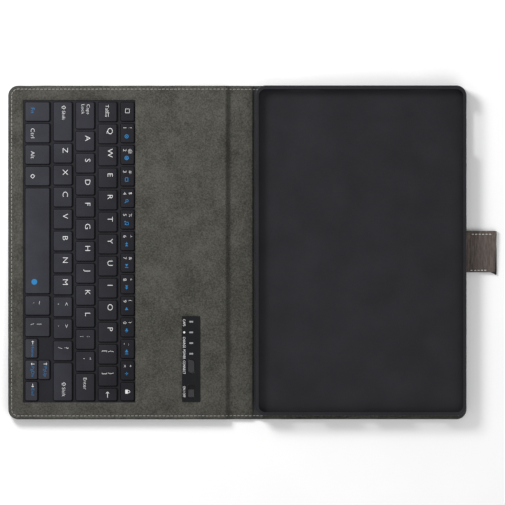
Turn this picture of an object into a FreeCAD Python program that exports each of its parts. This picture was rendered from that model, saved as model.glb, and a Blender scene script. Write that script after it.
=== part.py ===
import FreeCAD, Part
import math
import os

V = FreeCAD.Vector

# A folding tablet case with a built-in keyboard, lying open and flat on a table.
# X runs from the free edge of the keyboard cover to the closure strap, Y runs along the spine
# and Z is up.  All sizes are millimetres.  The typist sits on the -X side.

# Plan of the opened case.
case_width = 254.6
cover_edge_x = -186.5
front_hinge_x = -18.6
back_hinge_x = -0.1
easel_hinge_x = 4.9
easel_fold_x = 84.6
rear_edge_x = 163.1
corner_radius = 7.6

# Sheet and board thicknesses.
skin = 0.9
lining = 0.6
front_board = 0.8
front_height = 7.0
spine_board_thickness = 1.2
rear_board_thickness = 1.4
rear_lining_thickness = 0.7
rim_wall = 1.2
fit = 0.1

# A crease is bare skin: boards stop this far from its hinge line, and skins leave a cut of twice split.
front_crease = 2.3
back_crease = 2.0
split = 0.15

# Tray that holds a 10.4 inch tablet.
tablet_depth = 157.4
tablet_width = 247.6
tablet_thickness = 7.0
tablet_play = 0.4
tray_x = (2.3, 162.8)
tray_y = (-124.5, 127.3)
tray_lift = 0.3
tray_floor = 1.5
tray_lip_height = 0.7
tray_lip_reach = 0.9

# Keyboard module.  Key rows run along -Y as they are read, and row 5 lies nearest to the typist.
keyboard_x = (-175.2, -89.4)
keyboard_y = (-114.5, 116.3)
first_key_y = 114.5
key_row_length = 227.4
nearest_row_x = -173.3
key_gap = 2.2
row_gap = 3.2
key_height = (5.5, 7.5)
key_play = 0.3
deck_height = (5.0, 6.3)

# Control panel, its lamps, button and switch.
panel_x = (-53.8, -39.9)
panel_y = (-114.0, -48.6)
panel_height = (5.4, 7.2)
panel_flange = 3.0
lamp_size = (3.0, 1.3)
lamp_y = (-52.8, -60.9, -69.1, -77.2)
button_y = (-91.9, -82.0)
switch_y = (-110.7, -101.1)
control_width = 4.9
port_width = 8.4
port_height = (2.7, 5.7)

# Closure strap: one strip of leather, doubled back under itself.
strap_y = (-15.1, 16.5)
strap_layer = 1.1
strap_thickness = 2.8
strap_hinge_x = 163.5
strap_clearance = 0.3
bend_clearance = 2.4

# Everything below follows from the sizes above.
hinge_z = skin
cover_y = (-case_width / 2, case_width / 2)
front_core_bottom = skin + front_board
front_core_top = front_height - lining
front_x = (cover_edge_x, front_hinge_x - front_crease)
spine_x = (front_hinge_x + front_crease, back_hinge_x - back_crease)
rear_board_top = skin + rear_board_thickness
rear_top = rear_board_top + rear_lining_thickness
tray_bottom = rear_top + tray_lift
bay_bottom = tray_bottom + tray_floor
bay_top = bay_bottom + tablet_thickness + 0.1
tray_top = bay_top + tray_lip_height


def slab(x, y, z, radius=0.0, side="both"):
    """A plate over the ranges x, y, z, with its upright corners rounded on the side asked for."""
    plate = Part.makeBox(x[1] - x[0], y[1] - y[0], z[1] - z[0], V(x[0], y[0], z[0]))
    if radius == 0:
        return plate
    middle = (x[0] + x[1]) / 2
    corners = []
    for edge in plate.Edges:
        upright = edge.BoundBox.XLength < 0.001 and edge.BoundBox.YLength < 0.001
        on_left = edge.CenterOfMass.x < middle
        if upright and (side == "both" or on_left == (side == "left")):
            corners.append(edge)
    return plate.makeFillet(radius, corners)


def grown(span, margin):
    """The range widened by a margin at each end."""
    return (span[0] - margin, span[1] + margin)


def centred(middle, length):
    """The range of a given length about its middle."""
    return (middle - length / 2, middle + length / 2)


def drilled(solid, tools):
    """The solid with every tool cut from it."""
    return solid.cut(Part.makeCompound(tools)).removeSplitter()


def save(name, shape):
    """Write one named piece, or a group of like pieces, to its STEP file."""
    shape.exportStep("parts/%s.step" % name)
    print("%-22s %3d solids  volume %9.1f" % (name, len(shape.Solids), shape.Volume))


# ---------------------------------------------------------------- keyboard layout

# Each row: its depth along X, and its keys as (node, width along Y).  A width of 0 takes what is left.
common = 14.6
key_rows = [
    (10.0, [("key_row_1", 14.25)] * 13 + [("key_lock", 0)]),
    (13.9, [("key_tab", common)] + [("key_row_2", common)] * 12 + [("key_backspace", 0)]),
    (13.9, [("key_caps", 20.1)] + [("key_row_3", common)] * 11 + [("key_enter", 0)]),
    (13.9, [("key_shift_left", 29.3)] + [("key_row_4", 14.55)] * 10 + [("key_shift_right", 0)]),
    (18.3, [("key_fn", 14.2), ("key_control", 14.2), ("key_alt", 14.2), ("key_meta", 14.2),
            ("key_space", 80.1), ("key_row_5", 14.15), ("key_row_5", 14.15),
            ("key_left", 14.15), ("key_up_down", 14.15), ("key_right", 0)]),
]
arrow_depth = 9.0


def key_plan():
    """Every key as (node, x range, y range), from the row that is furthest from the typist."""
    plan = []
    far_x = nearest_row_x + sum(depth for depth, keys in key_rows) + row_gap * (len(key_rows) - 1)
    for depth, keys in key_rows:
        x = (far_x - depth, far_x)
        top_y = first_key_y
        for name, width in keys:
            if width == 0:
                width = top_y - (first_key_y - key_row_length)
            y = (top_y - width, top_y)
            near = (x[0], x[0] + arrow_depth)
            far = (x[1] - arrow_depth + 0.6, x[1])
            if name == "key_up_down":
                plan += [("key_down", near, y), ("key_up", far, y)]
            elif name in ("key_left", "key_right"):
                plan.append((name, near, y))
            else:
                plan.append((name, x, y))
            top_y -= width + key_gap
        far_x -= depth + row_gap
    return plan


def keycap(x, y):
    """One cap: rounded corners in plan and a softened top edge."""
    cap = slab(x, y, key_height, 1.1)
    top_edges = [edge for edge in cap.Edges if edge.BoundBox.ZMin > key_height[1] - 0.001]
    return cap.makeFillet(0.45, top_edges)


def save_keys(plan):
    """One node for each named key, and one for the character keys of each row."""
    for name in sorted({key[0] for key in plan}):
        save(name, Part.makeCompound([keycap(x, y) for node, x, y in plan if node == name]))


# ---------------------------------------------------------------- front cover

ribbon_y = (-60.0, -52.0)
board_pocket_x = (-53.0, -40.5)
board_pocket_y = (-121.5, -49.5)
battery_pocket_x = (-53.0, -27.0)
battery_pocket_y = (-42.0, 42.0)
closure_x = (-184.0, -171.0)
closure_y = centred(sum(strap_y) / 2, 26.0)
magnet_x = (-71.5, -63.5)
magnet_centres = (-84.0, 0.0, 84.0)
magnet_length = 40.0
port_centre = sum(panel_x) / 2
inner_y = (cover_y[0] + rim_wall + fit, cover_y[1] - rim_wall - fit)
core_x = (cover_edge_x + rim_wall + fit, front_x[1] - lining - fit)
core_radius = corner_radius - rim_wall - fit


def port_slot():
    """The way in for the charging plug, through the near edge of the cover."""
    return slab(centred(port_centre, port_width + 0.4), (cover_y[0] - 1, -121.4), (2.6, 5.8))


def front_skin():
    """Outer sheet, turned up round three edges of the cover."""
    sheet = slab((cover_edge_x, front_hinge_x - split), cover_y, (0, skin), corner_radius, "left")
    rim = slab(front_x, cover_y, (skin / 2, front_core_top), corner_radius, "left")
    inside_x = (cover_edge_x + rim_wall, front_x[1] + 1)
    inside_y = (cover_y[0] + rim_wall, cover_y[1] - rim_wall)
    hollow = slab(inside_x, inside_y, (-1, front_height), corner_radius - rim_wall, "left")
    return drilled(sheet.fuse(rim.cut(hollow)), [port_slot()])


def front_base_board():
    """Stiff sheet on the skin, cut out for the closure plate."""
    board = slab(core_x, inner_y, (skin, front_core_bottom), core_radius, "left")
    return drilled(board, [slab(grown(closure_x, fit), grown(closure_y, fit), (0, front_height))])


def magnet_bars(play=0.0):
    """The bars that hold the tray's foot when the case stands."""
    z = (front_core_top - 1.5 - play, front_core_top)
    return [slab(grown(magnet_x, play), centred(y, magnet_length + 2 * play), z) for y in magnet_centres]


def panel_screw_places():
    """Where the control panel is screwed down, near the corners of its flange."""
    return [(x, y) for x in (panel_x[0] - 1.6, panel_x[1] + 1.6) for y in (panel_y[0] + 2, panel_y[1] - 2)]


def panel_screws(play=0.0):
    """Countersunk screws with a plain shank."""
    screws = []
    for x, y in panel_screw_places():
        head = Part.makeCylinder(1.1 + play, 0.5 + play, V(x, y, front_core_top - 0.5 - play))
        shank = Part.makeCylinder(0.6 + play, 3.0, V(x, y, front_core_top - 3.4))
        screws.append(head.fuse(shank).removeSplitter())
    return screws


def front_core_frame():
    """Filler round the keyboard, the battery and the circuit board."""
    through = (0, front_height)
    core = slab(core_x, inner_y, (front_core_bottom, front_core_top), core_radius, "left")
    ribbon_way = slab((keyboard_x[1] - 1, board_pocket_x[0] + 1), grown(ribbon_y, 0.4), (0, 2.4))
    lead_way = slab((-50.0, -44.0), (board_pocket_y[1] - 1, battery_pocket_y[0] + 1), (0, 3.6))
    rebate = slab(grown(panel_x, panel_flange + fit), grown(panel_y, panel_flange + fit),
                  (panel_height[0], front_height))
    pockets = [slab(grown(keyboard_x, fit), grown(keyboard_y, fit), through),
               slab(board_pocket_x, board_pocket_y, through),
               slab(battery_pocket_x, battery_pocket_y, (0, 5.4)), ribbon_way, lead_way, rebate, port_slot()]
    return drilled(core, pockets + magnet_bars(0.05) + panel_screws(0.05))


def front_lining():
    """Suede sheet with two sharp cut-outs, turned down at the crease."""
    sheet_x = (cover_edge_x + 0.5, front_x[1])
    sheet = slab(sheet_x, grown(cover_y, -0.5), (front_core_top, front_height), corner_radius - 0.5, "left")
    turned = slab((front_x[1] - lining, front_x[1]), inner_y, (skin, front_core_top + 0.1))
    windows = [slab(grown(keyboard_x, 0.3), grown(keyboard_y, 0.3), (front_core_top - 1, front_height + 1)),
               slab(grown(panel_x, 0.2), grown(panel_y, 0.2), (front_core_top - 1, front_height + 1), 1.2)]
    return drilled(sheet.fuse(turned), windows)


# ---------------------------------------------------------------- keyboard module

case_wall = 0.8
case_floor = 0.5
plate_bottom = front_core_bottom + case_floor
plate_top = plate_bottom + 0.4
membrane_top = plate_top + 0.2
plate_x = grown(keyboard_x, -case_wall - 0.2)
plate_y = grown(keyboard_y, -case_wall - 0.2)


def keyboard_bottom_case():
    """Shallow tub under the keys, with a slot for the ribbon."""
    tub = slab(keyboard_x, keyboard_y, (front_core_bottom, deck_height[0]))
    hollow = slab(grown(keyboard_x, -case_wall), grown(keyboard_y, -case_wall), (plate_bottom, front_height))
    slot = slab((keyboard_x[1] - 1, keyboard_x[1] + 1), grown(ribbon_y, 0.3), (0, plate_bottom))
    return drilled(tub, [hollow, slot])


def keyboard_deck(plan):
    """Top frame with one window for each key."""
    deck = slab(keyboard_x, keyboard_y, deck_height, 1.5)
    return drilled(deck, [slab(grown(x, key_play), grown(y, key_play), (0, 9), 1.2) for name, x, y in plan])


def rubber_domes(plan):
    """One dome under the middle of each key."""
    return [Part.makeCone(2.2, 1.3, 0.9, V(sum(x) / 2, sum(y) / 2, membrane_top)) for name, x, y in plan]


def link_ring(x, y, length, width, z):
    """A flat rectangular link frame, 0.6 wide, about a key's middle."""
    outer = slab(centred(x, length), centred(y, width), z)
    return outer.cut(slab(centred(x, length - 1.2), centred(y, width - 1.2), grown(z, 1)))


def scissor_links(plan):
    """The two nested frames that guide each key, lying nearly flat."""
    rings = []
    z = (membrane_top, membrane_top + 0.6)
    for name, x, y in plan:
        middle_x = sum(x) / 2
        middle_y = sum(y) / 2
        rings.append(link_ring(middle_x, middle_y, 8.0, 10.6, z))
        rings.append(link_ring(middle_x, middle_y, 6.4, 9.0, z))
    return rings


# ---------------------------------------------------------------- control panel

control_x = centred(sum(panel_x) / 2, control_width)


def control_panel():
    """Face plate on a wider flange, pierced for the lamps, the button and the switch."""
    flange = slab(grown(panel_x, panel_flange), grown(panel_y, panel_flange),
                  (panel_height[0], front_core_top))
    face = slab(panel_x, panel_y, (panel_height[0], panel_height[1]), 1.0)
    plate = flange.fuse(face).removeSplitter()
    through = (0, 9)
    holes = [slab(centred(sum(panel_x) / 2, lamp_size[0]), centred(y, lamp_size[1]), through) for y in lamp_y]
    holes += [slab(grown(control_x, 0.2), grown(button_y, 0.2), through, 2.4), slab(control_x, switch_y, through, 0.8)]
    return drilled(plate, holes + panel_screws(0.05))


def indicator_lenses():
    """Four light pipes, a little below the face of the panel."""
    z = (panel_height[0] + 0.2, panel_height[1] - 0.1)
    size_x = centred(sum(panel_x) / 2, lamp_size[0] - 0.1)
    return [slab(size_x, centred(y, lamp_size[1] - 0.1), z) for y in lamp_y]


def connect_button():
    """Oval push button with a stem."""
    cap = slab(control_x, button_y, (5.6, panel_height[1] + 0.3), 2.2)
    top_edges = [edge for edge in cap.Edges if edge.BoundBox.ZMin > panel_height[1] + 0.299]
    return cap.makeFillet(0.35, top_edges)


def power_switch():
    """Slider with a cross-ribbed thumb pad, at the off end of its slot."""
    length = 5.8
    start = switch_y[0] + 0.4
    body = slab(grown(control_x, -0.3), (start, start + length), (4.6, panel_height[1] + 0.1), 0.5)
    grooves = []
    for count in range(5):
        groove_y = start + 1.1 + count * 0.9
        grooves.append(slab(grown(control_x, 1), centred(groove_y, 0.35), (panel_height[1] - 0.15, 9)))
    return drilled(body, grooves)


def controller_board():
    """Circuit board with its chips and the tact switch under the button."""
    top = front_core_bottom + 0.9
    board = slab(grown(board_pocket_x, -0.3), (board_pocket_y[0] + 0.4, board_pocket_y[1] - 0.3),
                 (front_core_bottom, top))
    chip_places = [(-48.5, -58.0, 6.0, 6.0), (-47.0, -70.0, 4.0, 5.0), (-45.5, -106.0, 3.0, 7.0)]
    for x, y, length, width in chip_places:
        board = board.fuse(slab(centred(x, length), centred(y, width), (top - 0.1, top + 0.9)))
    tact = slab(centred(sum(panel_x) / 2, 3.6), centred(sum(button_y) / 2, 3.6), (top - 0.1, 4.9))
    return board.fuse(tact).removeSplitter()


def charging_port():
    """Folded metal shell of the charging socket, open towards the edge."""
    x = centred(port_centre, port_width)
    y = (cover_y[0] + 0.4, board_pocket_y[0] + 1.0)
    shell = slab(x, y, port_height)
    return shell.cut(slab(grown(x, -0.3), (y[0] - 1, y[1] - 0.5), grown(port_height, -0.3)))


# ---------------------------------------------------------------- spine and back cover

def back_outline(x, z, margin=0.0, side="none"):
    """A sheet of the back cover, with rounded corners only at its free edge."""
    radius = corner_radius - margin if side == "right" else 0.0
    return slab(x, grown(cover_y, -margin), z, radius, side)


def save_spine():
    """Spine skin, board and lining between the two creases, and the bare strip behind the second one."""
    board_top = skin + spine_board_thickness
    save("spine_skin", back_outline((front_hinge_x + split, back_hinge_x - split), (0, skin)))
    save("spine_board", back_outline(spine_x, (skin, board_top), 1.2))
    save("spine_lining", back_outline(spine_x, (board_top, board_top + lining), 0.5))
    save("crease_skin", back_outline((back_hinge_x + split, easel_hinge_x - split), (0, skin)))
    save("crease_lining", back_outline((back_hinge_x + 0.7, easel_hinge_x - 0.7), (skin, skin + lining), 0.5))


def strap_anchor_pocket(play=0.0):
    """The tongue of the strap that is glued into the back cover."""
    return slab((rear_edge_x - 12 - play, strap_hinge_x - 0.1), grown(strap_y, play), (1.7, 2.8))


def save_back_cover():
    """The easel half that props the tray, and the rear half that carries it."""
    easel_x = (easel_hinge_x + front_crease, easel_fold_x - split)
    rear_x = (easel_fold_x + split, rear_edge_x)
    save("easel_skin", back_outline((easel_hinge_x + split, easel_fold_x - split), (0, skin)))
    save("easel_board", back_outline(easel_x, (skin, rear_board_top), 1.2))
    save("easel_lining", back_outline(easel_x, (rear_board_top, rear_top), 0.5))
    pocket = [strap_anchor_pocket(0.05)]
    save("rear_skin", back_outline(rear_x, (0, skin), 0.0, "right"))
    save("rear_board", drilled(back_outline(rear_x, (skin, rear_board_top), 0.3, "right"), pocket))
    save("rear_lining", drilled(back_outline(rear_x, (rear_board_top, rear_top), 0.3, "right"), pocket))
    save("strap_anchor", strap_anchor_pocket())
    pad_x = (easel_fold_x + 3, tray_x[1] - 3)
    save("tray_pad", slab(pad_x, grown(tray_y, -5), (rear_top, tray_bottom), 5.0, "right"))


# ---------------------------------------------------------------- tray

def tray_edge_slots(bay_x, bay_y):
    """Low slots in the tray's walls for the tablet's keys, socket and sound."""
    z = (bay_bottom + 1.6, bay_bottom + 5.2)
    middle_x = sum(bay_x) / 2
    through_low = (tray_y[0] - 1, bay_y[0] + 1)
    through_high = (bay_y[1] - 1, tray_y[1] + 1)
    slots = [slab(centred(middle_x, 12.0), through_low, z)]
    for x in (middle_x - 46, middle_x + 46):
        slots += [slab(centred(x, 26.0), through_low, z), slab(centred(x, 26.0), through_high, z)]
    slots.append(slab((bay_x[1] - 1, tray_x[1] + 1), (78.0, 112.0), z))
    return slots


def tray_shell():
    """Moulded tray: floor, four walls and a thin lip that snaps over the tablet's edge."""
    bay_x = centred(sum(tray_x) / 2, tablet_depth + tablet_play)
    bay_y = centred(sum(tray_y) / 2, tablet_width + tablet_play)
    body = slab(tray_x, tray_y, (tray_bottom, tray_top), corner_radius)
    crown = [edge for edge in body.Edges if edge.BoundBox.ZMin > tray_top - 0.001]
    body = body.makeFillet(0.5, crown)
    bay = slab(bay_x, bay_y, (bay_bottom, bay_top), corner_radius - 1.4)
    mouth = slab(grown(bay_x, -tray_lip_reach), grown(bay_y, -tray_lip_reach), (bay_top - 0.1, 20),
                 corner_radius - 2.3)
    return drilled(body, [bay, mouth] + tray_edge_slots(bay_x, bay_y))


# ---------------------------------------------------------------- closure strap

bend_radius = strap_thickness / 2


def strap_bend_x():
    """Where the strap doubles back, so that it just goes round the closed case."""
    closed_spacing = back_hinge_x - front_hinge_x
    cover_reach = back_hinge_x + (front_hinge_x - cover_edge_x)
    cover_inner_z = hinge_z + closed_spacing - (front_height - hinge_z)
    cover_outer_z = hinge_z + closed_spacing + hinge_z
    lean = math.atan2(cover_inner_z - strap_thickness, cover_reach + strap_clearance - strap_hinge_x)
    rise = cover_outer_z + strap_clearance + bend_radius - strap_thickness
    length = (rise + bend_radius * math.cos(lean)) / math.sin(lean)
    print("strap lean %.2f degrees, bend at x %.3f" % (math.degrees(lean), strap_hinge_x + length))
    return strap_hinge_x + length


def save_strap():
    """Upper layer, doubled end and lower layer of the strap, with its hidden magnet."""
    bend_x = strap_bend_x()
    layer_end = bend_x - bend_clearance
    save("strap_upper", slab((strap_hinge_x + 0.3, layer_end), strap_y,
                             (strap_thickness - strap_layer, strap_thickness)))
    axis = V(0, 1, 0)
    roll = Part.makeCylinder(bend_radius, strap_y[1] - strap_y[0], V(bend_x, strap_y[0], bend_radius), axis)
    core = Part.makeCylinder(0.3, strap_y[1] - strap_y[0], V(bend_x, strap_y[0], bend_radius), axis)
    left_half = slab((bend_x - 5, bend_x), grown(strap_y, 1), (-5, 5))
    save("strap_bend", drilled(roll, [core, left_half]))
    magnet = ((strap_hinge_x + 3.0, strap_hinge_x + 13.0), grown(strap_y, -9), (0.3, 0.8))
    cavity = slab(grown(magnet[0], 0.1), grown(magnet[1], 0.1), grown(magnet[2], 0.05))
    lower = slab((strap_hinge_x + 0.7, layer_end), strap_y, (0, strap_layer), 2.5, "left")
    save("strap_lower", lower.cut(cavity))
    save("strap_magnet", slab(*magnet))


def build():
    """Write every piece of the case."""
    os.makedirs("parts", exist_ok=True)
    plan = key_plan()
    save("front_skin", front_skin())
    save("front_base_board", front_base_board())
    save("front_core_frame", front_core_frame())
    save("front_lining", front_lining())
    save("closure_plate", slab(closure_x, closure_y, (skin, front_core_bottom)))
    save("stand_magnets", Part.makeCompound(magnet_bars()))
    save("keyboard_bottom_case", keyboard_bottom_case())
    save("keyboard_deck", keyboard_deck(plan))
    save("key_backplate", slab(plate_x, plate_y, (plate_bottom, plate_top)))
    save("membrane_sheet", slab(plate_x, plate_y, (plate_top, membrane_top)))
    save("rubber_domes", Part.makeCompound(rubber_domes(plan)))
    save("scissor_links", Part.makeCompound(scissor_links(plan)))
    save_keys(plan)
    save("control_panel", control_panel())
    save("indicator_lenses", Part.makeCompound(indicator_lenses()))
    save("connect_button", connect_button())
    save("power_switch", power_switch())
    save("panel_screws", Part.makeCompound(panel_screws()))
    save("controller_board", controller_board())
    save("charging_port", charging_port())
    save("battery_cell", slab(grown(battery_pocket_x, -0.5), grown(battery_pocket_y, -1.5),
                              (front_core_bottom, 5.2), 1.0))
    save("ribbon_cable", slab((keyboard_x[1] - 0.9, board_pocket_x[0] + 0.3), ribbon_y,
                              (front_core_bottom, front_core_bottom + 0.2)))
    save_spine()
    save_back_cover()
    save("tray_shell", tray_shell())
    save_strap()


build()
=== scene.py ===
import math
import random

import bmesh
import bpy
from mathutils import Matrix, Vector, noise


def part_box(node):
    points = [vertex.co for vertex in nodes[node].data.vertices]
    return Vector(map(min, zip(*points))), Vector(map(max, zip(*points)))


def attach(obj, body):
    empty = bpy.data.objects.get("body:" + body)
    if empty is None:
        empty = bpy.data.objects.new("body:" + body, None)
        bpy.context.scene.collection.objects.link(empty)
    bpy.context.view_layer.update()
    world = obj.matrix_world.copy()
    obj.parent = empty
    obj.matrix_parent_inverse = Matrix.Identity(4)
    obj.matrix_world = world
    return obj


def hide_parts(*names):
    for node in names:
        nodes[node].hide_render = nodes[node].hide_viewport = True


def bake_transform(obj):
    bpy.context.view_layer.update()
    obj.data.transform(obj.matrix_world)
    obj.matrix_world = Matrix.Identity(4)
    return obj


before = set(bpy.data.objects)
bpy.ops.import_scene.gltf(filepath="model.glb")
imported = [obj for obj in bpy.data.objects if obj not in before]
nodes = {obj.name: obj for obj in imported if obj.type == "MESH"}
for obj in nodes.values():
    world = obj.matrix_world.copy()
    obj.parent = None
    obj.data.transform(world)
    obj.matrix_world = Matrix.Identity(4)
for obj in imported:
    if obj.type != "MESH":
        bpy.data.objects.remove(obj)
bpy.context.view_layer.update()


# ---------------------------------------------------------------- outer skin
# One sheet of black grained imitation leather is the whole outside of the case.  It is glued to the
# boards, turned up round their edges and tucked in under the lining.  It bends at the two creases of
# the spine and at the fold across the back, so it is drawn as four lengths that meet on firm board.

mm = 0.001
rear_cover = 0.25 * mm
edge_in, edge_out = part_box("front_skin")[0].x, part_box("rear_skin")[1].x + rear_cover
near_side, far_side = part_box("front_skin")[0].y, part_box("front_skin")[1].y
corner_radius = 7.6 * mm

# Height of the turned-up edge along the case: thick cover, crease, spine, bare strip, thin back.
skin_top = [(-190, 6.95), (-21.3, 6.93), (-20.4, 6.5), (-19.6, 5.6), (-18.8, 4.4), (-18.0, 3.3),
            (-17.2, 2.65), (-16.2, 2.5), (-15.3, 2.68), (-1.4, 2.68), (-0.4, 2.3), (0.6, 1.5), (4.6, 1.45),
            (6.0, 2.2), (7.2, 2.98), (170, 2.98)]


def between(table, x):
    """Height read from a table of (x, height) points, all in millimetres, with straight steps."""
    for (x0, z0), (x1, z1) in zip(table, table[1:]):
        if x <= x1:
            share = min(max((x - x0) / (x1 - x0), 0.0), 1.0)
            return z0 + (z1 - z0) * share
    return table[-1][1]


def edge_profile(top):
    """Half section of the wrapped edge, from under the case up and over, as (inset, height)."""
    over = min(top * 0.35, 1.1)
    lower = [(3.5, 0.0), (3.1, 0.12), (2.7, 0.17), (2.3, 0.12), (1.9, 0.0), (0.9, 0.0), (0.4, 0.12)]
    middle = [(0.12, 0.4), (0.0, 0.4 + 0.3 * (top - 0.4)), (0.0, top - over)]
    upper = [(0.1, top - over * 0.5), (0.28, top - 0.26), (0.55, top - 0.3), (1.1, top - 0.42),
             (1.7, top - 0.6)]
    return lower + middle + upper


corner_steps, end_steps = 8, 32


def round_the_end(end_x, from_x, step=2.5):
    """Plan of one closed end: points (x, y, outward x, outward y) in mm, far side to near side."""
    sign = 1 if end_x > from_x else -1
    side = far_side / mm
    radius = corner_radius / mm
    points = []
    count = max(int(abs(end_x - from_x - sign * radius) / step), 1)
    for i in range(count):
        points.append((from_x + (end_x - sign * radius - from_x) * i / count, side, 0, 1))
    for i in range(corner_steps + 1):
        turn = math.pi / 2 * i / corner_steps
        out = (sign * math.sin(turn), math.cos(turn))
        points.append((end_x - sign * radius + radius * out[0], side - radius + radius * out[1], *out))
    for i in range(1, end_steps):
        points.append((end_x, (side - radius) * (1 - 2 * i / end_steps), sign, 0))
    near = reversed(points[:count + corner_steps + 1])
    return points + [(x, -y, nx, -ny) for x, y, nx, ny in near]


def skin_vertex(point, inset, height):
    """One point of the skin, with the slight unevenness of hand-turned edges."""
    x, y, out_x, out_y = point
    uneven = noise.noise(Vector((x * 0.08, y * 0.08, 0.0))) * 0.12
    inset = inset + (uneven if inset < 1.5 and height > 0.3 else 0.0)
    return Vector((x - out_x * inset, y - out_y * inset, height)) * mm


def face_out(sheet):
    """Turn every face of a mesh the same way out."""
    bmesh.ops.recalc_face_normals(sheet, faces=sheet.faces)
    return sheet


def fill_rows(sheet, rows):
    """Put faces between each row of points and the next one."""
    for row, after in zip(rows, rows[1:]):
        for corners in zip(row, row[1:], after[1:], after):
            sheet.faces.new(corners)


def new_piece(name, mesh_data, material, smooth=True):
    """Turn a finished mesh into a piece of the object."""
    mesh = bpy.data.meshes.new(name)
    mesh_data.to_mesh(mesh)
    mesh_data.free()
    mesh.materials.append(material)
    mesh.polygons.foreach_set("use_smooth", [smooth] * len(mesh.polygons))
    piece = bpy.data.objects.new(name, mesh)
    bpy.context.scene.collection.objects.link(piece)
    return piece


def closed_length(end_x, from_x):
    """A length of skin that ends in two rounded corners."""
    sheet = bmesh.new()
    path = round_the_end(end_x, from_x)
    rings = []
    for point in path:
        profile = edge_profile(between(skin_top, point[0]))
        rings.append([sheet.verts.new(skin_vertex(point, inset, z)) for inset, z in profile])
    fill_rows(sheet, rings)
    corner = path.index(next(p for p in path if abs(p[2]) > 0.99))
    for i in range(corner):
        sheet.faces.new((rings[i][0], rings[i + 1][0], rings[-2 - i][0], rings[-1 - i][0]))
    sheet.faces.new([ring[0] for ring in rings[corner:len(rings) - corner]])
    return face_out(sheet)


def open_length(from_x, to_x, step=0.6):
    """A length of skin between two cuts straight across the case."""
    sheet = bmesh.new()
    count = int((to_x - from_x) / step)
    side = far_side / mm
    rows = []
    for i in range(count + 1):
        x = from_x + (to_x - from_x) * i / count
        profile = edge_profile(between(skin_top, x))
        far = [skin_vertex((x, side, 0, 1), inset, z) for inset, z in reversed(profile)]
        near = [skin_vertex((x, -side, 0, -1), inset, z) for inset, z in profile]
        rows.append([sheet.verts.new(place) for place in far + near])
    fill_rows(sheet, rows)
    return face_out(sheet)


def put(tree, kind, sockets=None, **settings):
    """Add one shader node, choose its settings, and fill or wire its inputs."""
    made = tree.nodes.new("ShaderNode" + kind)
    for name, value in settings.items():
        setattr(made, name, value)
    for name, value in (sockets or {}).items():
        if isinstance(value, bpy.types.NodeSocket):
            tree.links.new(value, made.inputs[name])
        else:
            made.inputs[name].default_value = value
    return made


def spots(tree):
    """Where each point lies on its own piece."""
    return put(tree, "TexCoord").outputs["Object"]


def mix_colours(tree, share, dark, light):
    """A colour between dark and light, by share."""
    return put(tree, "Mix", {"Factor": share, 6: dark, 7: light}, data_type="RGBA").outputs[2]


def feed(tree, shader, **sources):
    """Wire what changes over the surface into the shader."""
    for label, source in sources.items():
        tree.links.new(source, shader.inputs[label.replace("_", " ")])


def new_group(name, inputs, outputs):
    """A shared effect: a node group with named inputs and outputs."""
    group = bpy.data.node_groups.new(name, "ShaderNodeTree")
    for label, kind, value in inputs:
        socket = group.interface.new_socket(label, in_out="INPUT", socket_type="NodeSocket" + kind)
        socket.default_value = value
    for label, kind in outputs:
        group.interface.new_socket(label, in_out="OUTPUT", socket_type="NodeSocket" + kind)
    return group, group.nodes.new("NodeGroupInput"), group.nodes.new("NodeGroupOutput")


def new_finish(name, **plain):
    """A material whose shader has plain values for everything that is the same all over."""
    material = bpy.data.materials.new(name)
    material.use_nodes = True
    shader = material.node_tree.nodes["Principled BSDF"]
    for label, value in plain.items():
        shader.inputs[label.replace("_", " ")].default_value = value
    return material, material.node_tree, shader


# Edge wear: corners rub paler, found by how far the surface's own normal leans from a rounded one.
edge_wear, wear_in, wear_out = new_group(
    "edge wear", [("Reach", "Float", 0.0004), ("Amount", "Float", 0.5)], [("Mask", "Float")])
rounded = put(edge_wear, "Bevel", {"Radius": wear_in.outputs["Reach"]}, samples=4)
agree = put(edge_wear, "VectorMath",
            {0: rounded.outputs[0], 1: put(edge_wear, "NewGeometry").outputs["Normal"]},
            operation="DOT_PRODUCT")
lean = put(edge_wear, "MapRange", {"Value": agree.outputs["Value"], "From Min": 0.98, "From Max": 0.7})
patchy = put(edge_wear, "TexNoise", {"Vector": spots(edge_wear), "Scale": 160.0})
worn = put(edge_wear, "Math", {0: lean.outputs[0], 1: patchy.outputs[0]}, operation="MULTIPLY")
shown = put(edge_wear, "Math", {0: worn.outputs[0], 1: wear_in.outputs["Amount"]}, operation="MULTIPLY")
edge_wear.links.new(shown.outputs[0], wear_out.inputs["Mask"])

# Speckle: two colours mixed in soft clouds with a fine grain on top.
speckle, speckle_in, speckle_out = new_group(
    "speckle", [("Light", "Color", (1, 1, 1, 1)), ("Dark", "Color", (0, 0, 0, 1)),
                ("Clouds", "Float", 30.0), ("Grain", "Float", 900.0), ("Grain Share", "Float", 0.4)],
    [("Color", "Color"), ("Height", "Float")])
place = spots(speckle)
clouds = put(speckle, "TexNoise", {"Vector": place, "Scale": speckle_in.outputs["Clouds"], "Detail": 3.0})
grains = put(speckle, "TexNoise", {"Vector": place, "Scale": speckle_in.outputs["Grain"], "Detail": 2.0})
blended = put(speckle, "Mix", {"Factor": speckle_in.outputs["Grain Share"], 2: clouds.outputs[0],
                               3: grains.outputs[0]}, data_type="FLOAT")
steep = put(speckle, "MapRange", {"Value": blended.outputs[0], "From Min": 0.36, "From Max": 0.64})
mixed = mix_colours(speckle, steep.outputs[0], speckle_in.outputs["Dark"], speckle_in.outputs["Light"])
speckle.links.new(mixed, speckle_out.inputs["Color"])
speckle.links.new(grains.outputs[0], speckle_out.inputs["Height"])

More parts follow.
